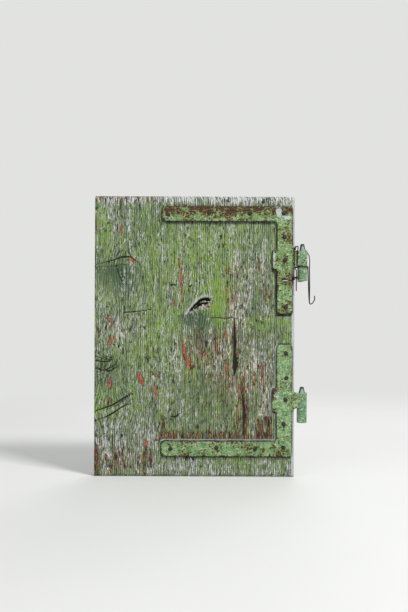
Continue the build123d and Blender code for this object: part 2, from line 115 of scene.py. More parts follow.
class Nodes:
    """A node tree whose nodes are added one by one."""

    def __init__(self, tree):
        self.tree = tree

    def feed(self, socket, value):
        if isinstance(value, bpy.types.NodeSocket):
            self.tree.links.new(value, socket)
        else:
            socket.default_value = value

    def node(self, kind, inputs, **settings):
        made = self.tree.nodes.new(kind)
        for key, value in settings.items():
            setattr(made, key, value)
        for key, value in inputs.items():
            self.feed(made.inputs[key], value)
        return made

    def math(self, operation, a, b):
        return self.node("ShaderNodeMath", {0: a, 1: b}, operation=operation).outputs[0]

    def add(self, a, b):
        return self.math("ADD", a, b)

    def mul(self, a, b):
        return self.math("MULTIPLY", a, b)

    def mix_shaders(self, share, a, b):
        return self.node("ShaderNodeMixShader", {0: share, 1: a, 2: b}).outputs[0]


class Surface(Nodes):
    """A new material. Sizes of its noises are changes a metre: across, deep and up."""

    def __init__(self, name):
        self.material = bpy.data.materials.new(name)
        self.material.use_nodes = True
        super().__init__(self.material.node_tree)
        self.shader = self.tree.nodes["Principled BSDF"]

    def times(self, vector, by):
        return self.node("ShaderNodeVectorMath", {0: vector, 1: by}, operation="MULTIPLY").outputs[0]

    def place(self, size):
        """The point on the object, in metres, times a number each way."""
        return self.times(self.node("ShaderNodeTexCoord", {}).outputs["Object"], size)

    def along(self, axis):
        """The point's place along the axis X, Y or Z, in metres."""
        return self.node("ShaderNodeSeparateXYZ", {0: self.place((1, 1, 1))}).outputs[axis]

    def point_field(self, name):
        """The vector that the mesh stores at its points under this name."""
        return self.node("ShaderNodeAttribute", {}, attribute_name=name).outputs["Vector"]

    def field(self, name):
        """The same vector as three values."""
        return self.node("ShaderNodeSeparateXYZ", {0: self.point_field(name)}).outputs[:]

    def noise(self, size, detail=3, rough=0.55, on=None):
        """Noise in space, or on another vector."""
        vector = self.times(on, size) if on else self.place(size)
        inputs = {"Vector": vector, "Scale": 1.0, "Detail": detail, "Roughness": rough}
        return self.node("ShaderNodeTexNoise", inputs).outputs[0]

    def lines(self, vector):
        """Wavering lines across the first direction, one every 0.31."""
        inputs = {"Vector": vector, "Scale": 1.0, "Distortion": 3.0, "Detail": 3.0, "Detail Scale": 1.0}
        return self.node("ShaderNodeTexWave", inputs).outputs[1]

    def cells(self, size):
        """Distance from the nearest of many scattered points."""
        return self.node("ShaderNodeTexVoronoi", {"Vector": self.place(size), "Scale": 1.0}).outputs[0]

    def between(self, value, low, high):
        """0 at low, 1 at high, smooth between them."""
        inputs = {"Value": value, "From Min": low, "From Max": high}
        return self.node("ShaderNodeMapRange", inputs, interpolation_type="SMOOTHSTEP").outputs[0]

    def swing(self, value, by):
        """How far a value is above or below 0.5, times a number."""
        return self.mul(self.add(value, -0.5), by)

    def mix(self, share, a, b):
        return self.node("ShaderNodeMix", {0: share, 6: a, 7: b}, data_type="RGBA").outputs[2]

    def lay(self, base, value, low, high, tone, share=None):
        """The base under a tone that grows as a value goes from low to high, times a share."""
        grown = self.between(value, low, high)
        return self.mix(grown if share is None else self.mul(grown, share), base, tone)

    def finish(self, base, rough, bump=None):
        """Sets the colour, the roughness and a bump: its height, strength and depth in millimetres."""
        self.feed(self.shader.inputs["Base Color"], base)
        self.feed(self.shader.inputs["Roughness"], rough)
        if bump:
            inputs = {"Height": bump[0], "Strength": bump[1], "Distance": bump[2] * MM}
            self.feed(self.shader.inputs["Normal"], self.node("ShaderNodeBump", inputs).outputs[0])
        return self.material


def board_values(s):
    """What the board's material reads: the mesh's fields, and noises most of which follow its grain."""
    v = SimpleNamespace()
    v.lime, v.teal, v.bare = s.field("zones")
    v.red, v.dark, v.pale = s.field("marks")
    v.pink, v.smooth, v.line = s.field("tints_and_shadow")
    grain = s.point_field("grain")
    v.dash = s.noise((340, 1, 66), 5, 0.72, grain)
    v.second = s.noise((430, 7, 84), 5, 0.72, grain)
    v.gather = s.noise((48, 5, 10), 4, 0.65, grain)
    v.third = s.noise((120, 11, 13), 6, 0.72, grain)
    v.long = s.noise((200, 5, 9), 4, 0.65, grain)
    v.fine = s.noise((640, 3, 60), 3, 0.7, grain)
    v.blotch = s.noise((30, 5, 14), 5, 0.7, grain)
    v.fleck = s.noise((520, 520, 300), 4, 0.7)
    v.comb = s.lines(s.times(grain, (75, 1, 6)))
    v.calm = s.mul(v.smooth, 0.05)
    return v


def green_paint(s, v):
    """The paint that is left on the board, mottled, with lime and teal zones."""
    paint = s.lay(colour(72, 92, 58), v.dash, 0.43, 0.57, colour(128, 144, 106))
    paint = s.lay(paint, v.third, 0.52, 0.6, colour(154, 168, 134))
    lime_reach = s.add(s.mul(v.lime, 0.16), s.add(v.third, -0.5))
    paint = s.lay(paint, lime_reach, -0.02, 0.09, colour(126, 160, 52))
    paint = s.lay(paint, v.blotch, 0.3, 0.5, colour(50, 82, 54), v.teal)
    return s.lay(paint, v.fine, 0.48, 0.4, colour(58, 72, 46))


def bare_wood(s, v):
    """Wood without paint: grey, and reddish in the pink zones."""
    grey = s.lay(colour(124, 122, 130), v.fleck, 0.4, 0.6, colour(212, 210, 220))
    reddish = s.lay(colour(96, 60, 52), v.dash, 0.42, 0.58, colour(184, 148, 140))
    return s.lay(grey, v.third, 0.4, 0.55, reddish, v.pink)


def wear(s, v):
    """How far the board is worn at a place: about 0.55 bares the wood, and 0.61 bleaches it."""
    lean = s.add(s.mul(v.bare, 0.06), s.swing(v.third, 0.35))
    lean = s.add(lean, s.swing(v.gather, 0.3))
    return s.math("SUBTRACT", s.add(v.second, lean), v.calm)


def with_grain(s, v, base):
    """Dark and light lines along the grain, and dark gaps between its strands."""
    base = s.lay(base, v.comb, 0.4, 0.1, colour(48, 60, 40), 0.42)
    base = s.lay(base, v.comb, 0.8, 0.95, colour(176, 196, 134), 0.24)
    low = s.add(s.add(v.dash, v.calm), s.swing(v.blotch, 0.3))
    base = s.lay(base, low, 0.435, 0.42, colour(26, 34, 22))
    return s.lay(base, s.add(v.long, v.calm), 0.37, 0.35, colour(46, 52, 38))


def with_red(s, v, base):
    """Strokes of red paint, dark and broken where they are weak and bright where they are strong."""
    ragged = s.add(v.second, s.mul(v.fleck, 0.35))
    reach = s.add(s.mul(v.red, 0.24), s.add(ragged, -0.675))
    deep = s.lay(colour(34, 20, 20), v.dash, 0.46, 0.58, colour(132, 60, 50))
    bright = s.lay(colour(146, 62, 50), v.dash, 0.43, 0.55, colour(206, 112, 90))
    bright = s.lay(bright, v.fleck, 0.5, 0.56, colour(92, 40, 36), 0.6)
    return s.lay(base, reach, 0.13, 0.15, s.lay(deep, v.red, *RED_TONES, bright))


def weathered_paint():
    """Old green paint on grey wood, worn through in streaks along the grain, with painted shadow round the
    plates and painted shade in its cracks and holes.
    """
    s = Surface("weathered_paint")
    v = board_values(s)
    worn = wear(s, v)
    bare_share = s.between(worn, 0.535, 0.56)
    base = s.mix(bare_share, green_paint(s, v), bare_wood(s, v))
    base = s.lay(base, worn, 0.605, 0.615, colour(224, 224, 222))
    base = with_red(s, v, with_grain(s, v, base))
    base = s.lay(base, s.add(s.mul(v.pale, 0.4), s.add(v.fleck, -0.5)), 0.18, 0.3, colour(186, 188, 190))
    # Painted shadow round the hinge plates
    base = s.mix(s.mul(v.line, 0.9), base, colour(16, 16, 15))
    # Painted shade in cracks, nail holes and the open knot's gaps, and the own dark colour of the growth
    # rings and torn wood
    base = s.lay(base, v.dark, 0.25, 0.75, colour(16, 18, 15))
    relief = s.add(s.mul(v.dash, 0.8), s.mul(v.fine, 0.3))
    relief = s.math("SUBTRACT", relief, s.mul(bare_share, 0.25))
    relief = s.add(relief, s.mul(s.between(v.comb, 0.0, 0.6), 0.25))
    return s.finish(base, 0.82, (relief, 0.8, 0.7))


def iron_values(s):
    """What the painted iron's material reads: the mesh's fields, and noises in space."""
    v = SimpleNamespace()
    v.rust, v.yellow, v.pale = s.field("wear")
    v.cloud = s.noise((70, 70, 70), 4, 0.6)
    v.speck = s.noise((330, 330, 360), 4, 0.7)
    v.fine = s.noise((800, 800, 800), 3, 0.6)
    v.streak = s.noise((95, 95, 380), 4, 0.68)
    v.gather = s.noise((62, 62, 62), 3, 0.6)
    v.pits = s.cells((210, 210, 240))
    return v


def iron_paint(s, v):
    """The irons' green paint, yellower where the mesh says so, and bluer on the eyes."""
    paint = s.lay(colour(88, 138, 90), v.cloud, 0.38, 0.62, colour(146, 184, 124))
    paint = s.lay(paint, v.streak, 0.42, 0.56, colour(116, 134, 62), v.yellow)
    eye = s.lay(colour(82, 128, 98), v.cloud, 0.42, 0.58, colour(124, 162, 138))
    paint = s.lay(paint, s.along("X"), *EYE_STARTS, eye, 0.75)
    paint = s.lay(paint, v.speck, 0.54, 0.56, colour(190, 210, 170))
    return s.lay(paint, v.fine, 0.45, 0.41, colour(60, 92, 56))


def rust_excess(s, v):
    """How far a place on the iron is past the point where rust begins, which is 0."""
    reach = s.add(s.mul(v.speck, 0.7), s.mul(v.pits, -0.3))
    reach = s.add(reach, s.swing(v.gather, 0.5))
    return s.math("SUBTRACT", s.add(reach, v.rust), 0.7)


def painted_iron():
    """Light green paint on flat iron, with rust where the mesh says that it is."""
    s = Surface("painted_iron")
    v = iron_values(s)
    over = rust_excess(s, v)
    stain = s.between(over, -0.012, 0.004)
    ochre = s.lay(colour(84, 72, 40), v.fine, 0.42, 0.58, colour(166, 132, 70))
    brown = s.lay(colour(28, 20, 18), v.fine, 0.42, 0.58, colour(88, 54, 36))
    broken = s.between(s.add(v.streak, s.mul(over, 0.5)), 0.46, 0.5)
    base = s.lay(s.mix(stain, iron_paint(s, v), ochre), over, 0.006, 0.02, brown, broken)
    thin = s.mul(s.between(over, 0.16, 0.08), s.between(v.fine, 0.4, 0.5))
    base = s.lay(base, v.streak, 0.57, 0.6, colour(120, 146, 88), thin)
    base = s.lay(base, s.add(s.mul(v.pale, 0.3), v.speck), 0.66, 0.69, colour(184, 196, 190))
    relief = s.math("SUBTRACT", s.mul(v.fine, 0.4), s.mul(stain, s.add(v.speck, 0.2)))
    return s.finish(base, s.between(stain, -1.2, 1.3), (relief, 0.8, 0.5))


def dark_iron(name, low, high, fleck, end=None):
    """Bare iron: two tones, flecks of a third, and perhaps one end in another tone, or on the pins a painted
    highlight down their front.
    """
    s = Surface(name)
    fine = s.noise((900, 900, 900))
    base = s.lay(low, s.noise((240, 240, 240), 4, 0.65), 0.35, 0.65, high)
    base = s.lay(base, fine, 0.58, 0.72, fleck)
    if end:
        axis, start, full, tone = end
        # A tone along one axis: a painted highlight on the pins' front, or a wire end's own tone
        base = s.lay(base, s.along(axis), start, full, tone, s.between(fine, 0.3, 0.45))
    s.shader.inputs["Metallic"].default_value = 0.3
    return s.finish(base, s.between(fine, -0.6, 1.0), (fine, 0.6, 0.3))


def plain_wood():
    """The battens: grey-brown bare wood with thin remains of green."""
    s = Surface("plain_wood")
    streak = s.noise((14, 260, 300), 4, 0.6)
    fine = s.noise((60, 900, 1000), 2)
    base = s.lay(colour(104, 92, 76), streak, 0.3, 0.7, colour(150, 140, 120))
    base = s.lay(base, fine, 0.55, 0.7, colour(84, 74, 62))
    base = s.lay(base, s.noise((14, 14, 14)), 0.45, 0.65, colour(112, 126, 92), 0.6)
    return s.finish(base, 0.85, (s.add(streak, s.mul(fine, 0.5)), 0.6, 0.5))


# Pieces

def set_field(mesh, name, *values):
    """Stores up to three values for each point of the mesh."""
    data = np.zeros((len(mesh.vertices), 3), np.float32)
    for index, value in enumerate(values):
        data[:, index] = value
    mesh.attributes.new(name, "FLOAT_VECTOR", "POINT").data.foreach_set("vector", data.ravel())


def vectors_of(rows, name):
    """One vector of each of a mesh's points or normals, as rows of an array."""
    data = np.zeros(len(rows) * 3, np.float32)
    rows.foreach_get(name, data)
    return data.reshape(-1, 3).astype(float)


def put_points(mesh, points):
    mesh.vertices.foreach_set("co", points.astype(np.float32).ravel())
    mesh.update()


def place_piece(piece, material, node, body):
    """Puts a finished piece in a CAD node's stead."""
    piece.data.materials.clear()
    piece.data.materials.append(material)
    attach(piece, body)
    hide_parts(node)


def new_object(name, data):
    made = bpy.data.objects.new(name, data)
    bpy.context.scene.collection.objects.link(made)
    return made


def new_piece(name, points, faces):
    mesh = bpy.data.meshes.new(name)
    mesh.from_pydata(points, [], faces)
    mesh.shade_smooth()
    return new_object(name, mesh)


def even_copy(name, node, face):
    """A copy of a CAD node with even faces of that size in millimetres, its points and its normals."""
    piece = new_object(name, NODES[node].data.copy())
    remesh = piece.modifiers.new("even", "REMESH")
    remesh.mode = "VOXEL"
    remesh.voxel_size = face * MM
    remesh.use_smooth_shade = True
    graph = bpy.context.evaluated_depsgraph_get()
    mesh = bpy.data.meshes.new_from_object(piece.evaluated_get(graph))
    piece.modifiers.clear()
    piece.data = mesh
    mesh.shade_smooth()
    return piece, vectors_of(mesh.vertices, "co"), vectors_of(mesh.vertex_normals, "vector")


# Leaf. Places on its front are in millimetres from its upper left corner: across, down.

CRACKS = [
    # points, width, depth, darkness of the painted shade in the crack
    ([(280, 245), (281, 290), (280, 320), (281, 338), (279, 359)], 4.2, 3, 0.95),
    ([(281, 318), (282, 336), (281, 352)], 8, 3, 1), ([(276, 262), (277, 300)], 2, 1.5, 0.7),
    ([(281, 128), (281, 152)], 1.2, 1.5, 0.6), ([(297, 396), (300, 430), (299, 478)], 4.4, 2, 0.8),
    ([(57, 236), (58, 233), (83, 231), (113, 227)], 1.8, 2.5, 1),
    ([(50, 122), (62, 122), (74, 120.5)], 2.4, 3, 1),
    ([(43, 139), (46, 152), (54, 170), (62, 184)], 1.6, 2, 0.9),
    ([(94, 154), (98, 178)], 1.6, 1.6, 0.8), ([(117, 158), (117, 173)], 2.4, 1.6, 0.7),
    ([(116, 182), (117, 196)], 1.8, 1.6, 0.8), ([(0, 327), (14, 332), (34, 331)], 2.6, 2.5, 0.8),
    ([(0, 343), (12, 348), (33, 350), (48, 340)], 2, 2.5, 1),
    ([(0, 432), (12, 427), (23, 423), (35, 419), (47, 412), (60, 404), (77, 395)], 2.6, 2.5, 1),
    ([(2, 438), (20, 433), (36, 427), (50, 418), (66, 408)], 1.4, 1.5, 0.6),
    ([(3, 449), (18, 444), (31, 439), (42, 432), (51, 425), (62, 419), (75, 415)], 2.4, 2.5, 0.95),
    ([(20, 408), (36, 404), (52, 396), (64, 386)], 1.4, 1.2, 0.5),
    ([(24, 428), (44, 419), (64, 405), (74, 399)], 1.8, 1.4, 0.8),
    ([(30, 437), (48, 429), (66, 414), (80, 404)], 1.6, 1.4, 0.7),
    ([(52, 408), (68, 397), (78, 390)], 1.6, 1.2, 0.7),
    ([(1, 344), (18, 349), (32, 344), (44, 336), (45, 326)], 2, 1.6, 0.8),
    ([(68, 392), (80, 402), (88, 416)], 1.2, 1, 0.45),
    ([(0, 138), (15, 134), (35, 129), (51, 123), (71, 122), (85, 131), (93, 144)], 2, 2, 0.8),
    ([(3, 145), (14, 141), (30, 142), (51, 138), (71, 138), (84, 143)], 1.6, 1.5, 0.65),
    ([(8, 150), (24, 148), (40, 146)], 1.2, 1.2, 0.5),
    ([(0, 310), (14, 314), (26, 322)], 1.4, 1.2, 0.5),
    ([(0, 318), (18, 326), (36, 327)], 1.8, 1.6, 0.7),
    ([(152, 441), (163, 441), (173, 434)], 3, 1.5, 0.9),
    ([(151, 177), (158, 176.5), (164, 178)], 2.6, 3, 1), ([(162, 332), (163, 345)], 1.6, 1.5, 0.7),
    ([(232, 243.5), (246, 242), (260, 244), (276, 242.5), (292, 246)], 2.6, 1.4, 0.7),
    ([(246, 296), (247, 316)], 1.8, 1.5, 0.7), ([(176, 312), (182, 330)], 2, 1.5, 0.7),
]
# Old nail holes, with painted shade in them: across, down, radius
HOLES = [
    (48, 301, 2.4), (71, 293, 1.5), (81, 258.5, 1.4), (101, 350, 1.7), (190, 180, 2.3),
    (190, 372, 1.4), (208.5, 412, 1.8), (240, 286.5, 1.9), (252, 411, 1.4),
]
# Open knot, from the lower left end of its bowl round by the right, and its deep crack
KNOT_BOWL = [
    (184, 236), (194, 234), (203, 228), (212, 226), (222, 226), (229, 223),
    (233, 215), (238, 205), (230, 202), (218, 202), (210, 206), (198, 216),
]
KNOT_CRACK = [(187, 231), (197, 221), (207, 212), (214, 207), (221, 205), (229, 207)]
KNOT_LOWER_CRACK = [(199, 226), (208, 219), (217, 214), (226, 213)]
KNOT_AXIS = [(186, 236), (232, 206)]
# Depths of the nail holes and of the knots' rings
HOLE_DEPTH, RING_DEPTH = 4, 1
# A stroke is deep red and broken up to the first strength, and bright from the second
RED_TONES = (0.72, 0.95)
RED_STROKES = [
    # points, width, strength
    ([(168.5, 124), (171, 142), (173, 160), (174, 180), (175, 214)], 3.4, 1),
    ([(172, 154), (174, 170)], 6, 1),
    ([(176, 286), (179, 306), (181, 322), (186, 334), (192, 347)], 6.5, 1),
    ([(188, 314), (196, 344)], 3.5, 0.95), ([(183, 290), (186, 312)], 3, 0.7),
    ([(156, 207), (164, 221)], 3.4, 0.95), ([(328, 124), (329, 150)], 4.2, 0.85),
    ([(244, 292), (246, 316)], 4.2, 0.9), ([(262, 262), (263, 290)], 3.4, 0.9),
    ([(279, 262), (281, 282), (280, 312)], 7, 0.75), ([(281, 250), (284, 372)], 11, 0.5),
    ([(296, 366), (298, 400), (303, 430), (300, 476)], 16, 0.66),
    ([(290, 376), (292, 398)], 4, 0.95), ([(308, 372), (309, 388)], 3, 0.9),
    ([(286, 420), (288, 470)], 6, 0.6), ([(30, 280), (32, 300)], 5, 0.95),
    ([(40, 276), (41, 292)], 5, 0.95), ([(89, 354), (93, 366), (98, 378)], 9, 1),
    ([(119, 376), (122, 388), (126, 402)], 5, 0.97), ([(112, 352), (130, 362)], 4, 0.9),
    ([(33, 364), (31, 384)], 6, 0.95), ([(28, 376), (34, 378)], 6, 1),
    ([(28, 400), (28, 418)], 5, 0.85), ([(103, 486), (105, 500)], 6, 0.95),
    ([(102, 500), (100, 552)], 9, 0.7), ([(112, 506), (114, 544)], 6, 0.66),
    ([(5, 500), (5, 560)], 12, 0.72), ([(42, 508), (46, 552)], 14, 0.5),
    ([(66, 122), (74, 126), (80, 132)], 6, 1), ([(54, 56), (53, 78)], 4, 0.95),
    ([(24, 516), (25, 532)], 5, 0.8), ([(34, 536), (35, 554)], 6, 0.7),
    ([(60, 528), (62, 548)], 5, 0.66), ([(50, 508), (52, 522)], 4, 0.8),
    ([(76, 500), (77, 520)], 4, 0.6), ([(88, 520), (89, 540)], 5, 0.66),
    ([(20, 470), (21, 486)], 3, 0.6), ([(24, 244), (34, 252)], 6, 0.9),
    ([(42, 246), (30, 268)], 5, 0.66), ([(8, 262), (10, 284)], 4, 0.7),
    ([(0, 38), (2, 68)], 5, 0.8), ([(135, 440), (140, 466)], 8, 0.75),
    ([(128, 448), (150, 486)], 5, 0.5), ([(340, 176), (341, 214)], 9, 0.6),
    ([(352, 186), (352, 210)], 5, 0.66), ([(266, 134), (268, 156)], 5, 0.8),
    ([(258, 376), (262, 420)], 8, 0.5), ([(262, 176), (268, 230)], 7, 0.5),
    ([(205, 270), (230, 330)], 26, 0.45), ([(106, 296), (108, 318)], 5, 0.6),
    ([(118, 300), (119, 322)], 4, 0.6), ([(330, 446), (336, 474)], 12, 0.72),
    ([(302, 410), (303, 440)], 8, 0.7),
]
# Rings of the grown-over knots: middle, half sizes, distance between rings, darkness
RINGS = [
    (4, 336, 44, 22, 5, 0.9), (154, 192, 12, 19, 4, 0.6), (154, 312, 18, 30, 5, 0.5),
    (152, 396, 20, 36, 5, 0.5), (122, 60, 12, 10, 4, 0.6), (214, 250, 34, 24, 5, 0.35),
]
# Parts of the front that differ: middle, half sizes and amount of each
ZONES = {
    "lime": [
        (248, 205, 17, 42, 1.3), (210, 130, 80, 90, 0.42), (18, 70, 18, 60, 0.6),
        (110, 90, 30, 90, 0.45), (140, 265, 60, 70, 0.45), (90, 330, 60, 50, 0.4),
        (300, 250, 90, 14, 0.5), (240, 90, 90, 40, 0.35), (20, 430, 22, 8, 0.7),
        (300, 525, 90, 20, 0.3), (330, 250, 60, 14, 0.4), (165, 330, 10, 22, 0.5),
    ],
    "teal": [
        (45, 150, 42, 20, 1.1), (60, 180, 30, 20, 0.6), (130, 50, 30, 40, 0.35),
        (206, 246, 30, 14, 1.3), (190, 240, 14, 10, 0.8), (215, 275, 30, 24, 0.6),
        (20, 338, 26, 12, 0.9), (60, 410, 16, 10, 0.7), (30, 370, 30, 14, 0.5),
        (225, 400, 50, 50, 0.45), (330, 290, 30, 60, 0.3), (318, 225, 26, 36, 0.5),
        (318, 120, 22, 34, 0.35), (90, 60, 24, 50, 0.4), (350, 90, 8, 50, 0.3),
    ],
    "bare": [
        (300, 180, 40, 90, 0.25), (310, 330, 60, 90, 0.6), (279, 215, 10, 62, 1.1),
        (330, 440, 40, 50, 0.7), (152, 195, 10, 18, 0.8), (155, 400, 22, 50, 0.5),
        (160, 310, 18, 36, 0.4), (20, 490, 30, 40, 1), (90, 470, 60, 44, 0.8),
        (50, 270, 40, 40, 0.35), (140, 30, 20, 40, 0.5), (210, 330, 40, 50, 0.4),
        (270, 8, 130, 9, 0.9), (260, 542, 140, 18, 0.9), (60, 8, 60, 8, 0.7),
        (60, 530, 70, 36, 0.5), (230, 300, 60, 40, 0.5), (320, 150, 40, 60, 0.4),
    ],
    "pink": [
        (300, 170, 50, 60, 0.6), (281, 225, 14, 62, 1.1), (300, 340, 70, 90, 0.8),
        (320, 440, 40, 50, 1), (210, 300, 40, 50, 0.6), (60, 260, 50, 50, 0.4),
        (60, 530, 70, 36, 1), (245, 400, 110, 60, 0.5), (235, 300, 50, 36, 0.8),
    ],
    "smooth": [
        (50, 155, 50, 30, 0.6), (248, 205, 17, 42, 1), (210, 246, 30, 16, 0.8),
        (20, 338, 26, 14, 0.8), (30, 400, 40, 30, 0.6), (220, 400, 60, 50, 0.5),
        (270, 540, 130, 22, 0.7), (340, 270, 60, 20, 0.5), (350, 90, 9, 50, 1),
    ],
}
# Knots that the grain bends round: middle, half sizes, pull
GRAIN_KNOTS = [
    (208, 216, 30, 44, 0.6), (62, 150, 36, 46, 0.5), (10, 338, 36, 26, 0.5), (30, 424, 44, 30, 0.5),
    (152, 380, 16, 30, 0.5), (155, 300, 14, 26, 0.4), (154, 186, 12, 20, 0.4),
    (122, 60, 10, 16, 0.4),
]
# The hinge plates over the leaf: left, top, right and bottom of arm, leg and bulge
ARM_LEFT, LEG_LEFT, LEG_RIGHT = 135, 365, 395
BULGE_LEFT, BULGE_RIGHT = 356, 376
LOWER_LEG_TOP, LOWER_ARM_TOP = 296, 489
UPPER_PLATE = [
    (ARM_LEFT, 20, LEG_RIGHT, 50), (LEG_LEFT, 20, LEG_RIGHT, 236), (BULGE_LEFT, 107, BULGE_RIGHT, 149),
]
LOWER_PLATE = [
    (ARM_LEFT, LOWER_ARM_TOP, LEG_RIGHT, 519), (LEG_LEFT, LOWER_LEG_TOP, LEG_RIGHT, 519),
    (BULGE_LEFT, 383, BULGE_RIGHT, 431),
]
PLATE_CORNER = 6
# The painted shadow round a plate lies this much lower than the plate, as if the light came from above
SHADOW_DROP = 1.2
# How far from the lower plate the pale strip beside it ends. Torn wood is above its arm, from TORN_TOP down.
PALE_STRIP = (3.4, 4.6)
TORN_TOP = 440
# Faces across and down the front. The back has one for every BACK_STEP each way.
COLUMNS, ROWS = 304, 240
BACK_STEP = 2
# Where the rows lie closer together, down from the leaf's top: place and reach
FINE_ROWS = [(123, 12), (150, 25), (218, 24), (240, 8), (338, 18), (424, 26), (476, 14)]
ROW_CROWDING = 1.3
# How far the paint is worn off and how yellow it is behind and on the edges
BACK_BARE, BACK_LIME = -0.3, -0.65


def distance_to_line(across, down, points):
    """Distance of each place from a line through the points, and how far along it is, 0 to 1."""
    best = np.full(across.shape, np.inf)
    share = np.zeros(across.shape)
    count = len(points) - 1
    for index, ((x0, y0), (x1, y1)) in enumerate(zip(points, points[1:])):
        length = (x1 - x0) ** 2 + (y1 - y0) ** 2
        t = np.clip(((across - x0) * (x1 - x0) + (down - y0) * (y1 - y0)) / length, 0, 1)
        away = np.hypot(across - x0 - t * (x1 - x0), down - y0 - t * (y1 - y0))
        nearer = away < best
        best = np.where(nearer, away, best)
        share = np.where(nearer, (index + t) / count, share)
    return best, share


def inside_outline(across, down, outline):
    """True inside a closed outline."""
    inside = np.zeros(across.shape, bool)
    for (x0, y0), (x1, y1) in zip(outline, outline[1:] + outline[:1]):
        crosses = (y0 > down) != (y1 > down)
        edge = (x1 - x0) * (down - y0) / (y1 - y0 + 1e-12) + x0
        inside ^= crosses & (across < edge)
    return inside


def stroke(across, down, points, width):
    """1 in the middle of a stroke that is thin at both ends, 0 outside it."""
    away, share = distance_to_line(across, down, points)
    half = width / 2 * (0.5 + 0.7 * np.sin(np.pi * np.clip(share, 0.02, 0.98)))
    return 1 - ramp(away, half * 0.4, half * 1.6)


def beside_plate(across, down, plate):
    """Distance of each place outside a plate, or less than 0 under it."""
    best = np.full(across.shape, np.inf)
    for left, top, right, bottom in plate:
        dx = np.maximum(np.maximum(left - across, across - right) + PLATE_CORNER, 0)
        dy = np.maximum(np.maximum(top - down, down - bottom) + PLATE_CORNER, 0)
        best = np.minimum(best, np.hypot(dx, dy) - PLATE_CORNER)
    return best


def plate_gap_shadows(across, down, wave):
    """Painted shadows round both plates, widest to the left of the upper leg's lower half."""
    moved = down - SHADOW_DROP
    under = np.minimum(beside_plate(across, moved, UPPER_PLATE), beside_plate(across, moved, LOWER_PLATE))
    reach = np.where(across > LEG_RIGHT - 1, 1.0, 1.6)
    reach = reach + 1.8 * (across < LEG_LEFT + 1) * ramp(down, 146, 156) * (1 - ramp(down, 228, 240))
    return (1 - ramp(under, reach, reach + 1.2)) * (0.9 + wave)


def plate_marks(across, down):
    """Painted shadows round the plates, and the pale strip and the torn wood beside the lower one."""
    rough = Roughness(13)
    wave = rough.layered(across / 8, 0 * across, down / 8) - 0.5
    lower = beside_plate(across, down, LOWER_PLATE)
    inner = (across < LEG_LEFT + 1) & (down < LOWER_ARM_TOP + 1) & (down > LOWER_LEG_TOP - 16)
    strip = inner * (1 - ramp(lower + wave * 1.5, *PALE_STRIP))
    height = 10 + 38 * rough.layered(across / 2.2, 0 * across + 4, down / 40)
    torn = inner * (down > TORN_TOP) * (across < BULGE_LEFT) * ramp(lower, 3.6, 4.8)
    torn = torn * (1 - ramp(lower, height * 0.5, height))
    return plate_gap_shadows(across, down, wave), strip, torn


def zone_amounts(x, y):
    """How strong each kind of zone is."""
    zones = {}
    for kind, rows in ZONES.items():
        zones[kind] = np.zeros(x.shape)
        for cx, cy, half_width, half_height, amount in rows:
            reach = ((x - cx) / half_width) ** 2 + ((y - cy) / half_height) ** 2
            zones[kind] += amount * np.exp(-reach)
    return zones


def crack_marks(across, down, wobble):
    """The mark of each crack, the darkness of the shade painted in it, and its depth."""
    for points, width, depth, darkness in CRACKS:
        yield stroke(across + wobble * 0.3, down + wobble * 0.3, points, width), darkness, depth


def ring_marks(x, y, wobble, rough):
    """Broken growth rings round each grown-over knot, their darkness and their depth."""
    broken = ramp(rough.layered(x / 9, y / 9, 0 * x + 2), 0.35, 0.55)
    for cx, cy, half_width, half_height, spacing, darkness in RINGS:
        away = np.hypot((x - cx) / half_width, (y - cy) / half_height)
        wave = np.cos((away * half_height + wobble) / spacing * 2 * np.pi)
        mark = darkness * ramp(wave, 0.5, 0.9) * (1 - ramp(away, 0.8, 1.1)) * ramp(away, 0.1, 0.3)
        yield mark * broken, 1.0, RING_DEPTH


def hole_marks(across, down):
    """The mark of each nail hole, the darkness of the shade painted in it, and its depth."""
    for cx, cy, radius in HOLES:
        away = np.hypot(across - cx, down - cy)
        yield 1 - ramp(away, radius * 0.6, radius * 1.3), 1.0, HOLE_DEPTH


def leaf_marks(across, down):
    """The leaf's zones and red strokes, and how deep its cracks, rings and holes are and how dark: painted
    shade in cracks and holes, the rings' own colour.
    """
    rough = Roughness(7)
    wobble = (rough.layered(across / 9, down / 9, 0 * across) - 0.5) * 3
    x, y = across + wobble, down + wobble[::-1] * 0.6
    red, dark, depth = (np.zeros(across.shape) for _ in range(3))
    for points, width, strength in RED_STROKES:
        red = np.maximum(red, strength * stroke(x, y, points, width))
    openings = chain(
        crack_marks(across, down, wobble), ring_marks(x, y, wobble, rough), hole_marks(across, down)
    )
    for mark, darkness, deep in openings:
        dark = np.maximum(dark, darkness * mark)
        depth = np.maximum(depth, deep * mark)
    return zone_amounts(x, y), red, dark, depth


def knot_fields(across, down):
    """Where the open knot's bowl is, the distance to its rim, its slope and the deep gaps in it."""
    rough = Roughness(29)
    across = across + (rough.layered(across / 5, down / 5, 0 * across) - 0.5) * 3.2
    down = down + (rough.layered(across / 4, down / 4, 0 * across + 3) - 0.5) * 3.2
    bowl = inside_outline(across, down, KNOT_BOWL)
    rim, _ = distance_to_line(across, down, KNOT_BOWL + KNOT_BOWL[:1])
    crack, _ = distance_to_line(across, down, KNOT_CRACK)
    lower, _ = distance_to_line(across, down, KNOT_LOWER_CRACK)
    slope = np.where(bowl, ramp(rim, 0, 2.2), 0)
    deep = np.maximum(1 - ramp(crack, 2.2, 3.4), 1 - ramp(lower, 0.8, 1.8))
    return bowl, rim, slope, deep


def rim_side(across, down):
    """How far above the open knot's long axis a place is."""
    (x0, y0), (x1, y1) = KNOT_AXIS
    length = math.hypot(x1 - x0, y1 - y0)
    return ((across - x0) * (y1 - y0) - (down - y0) * (x1 - x0)) / length


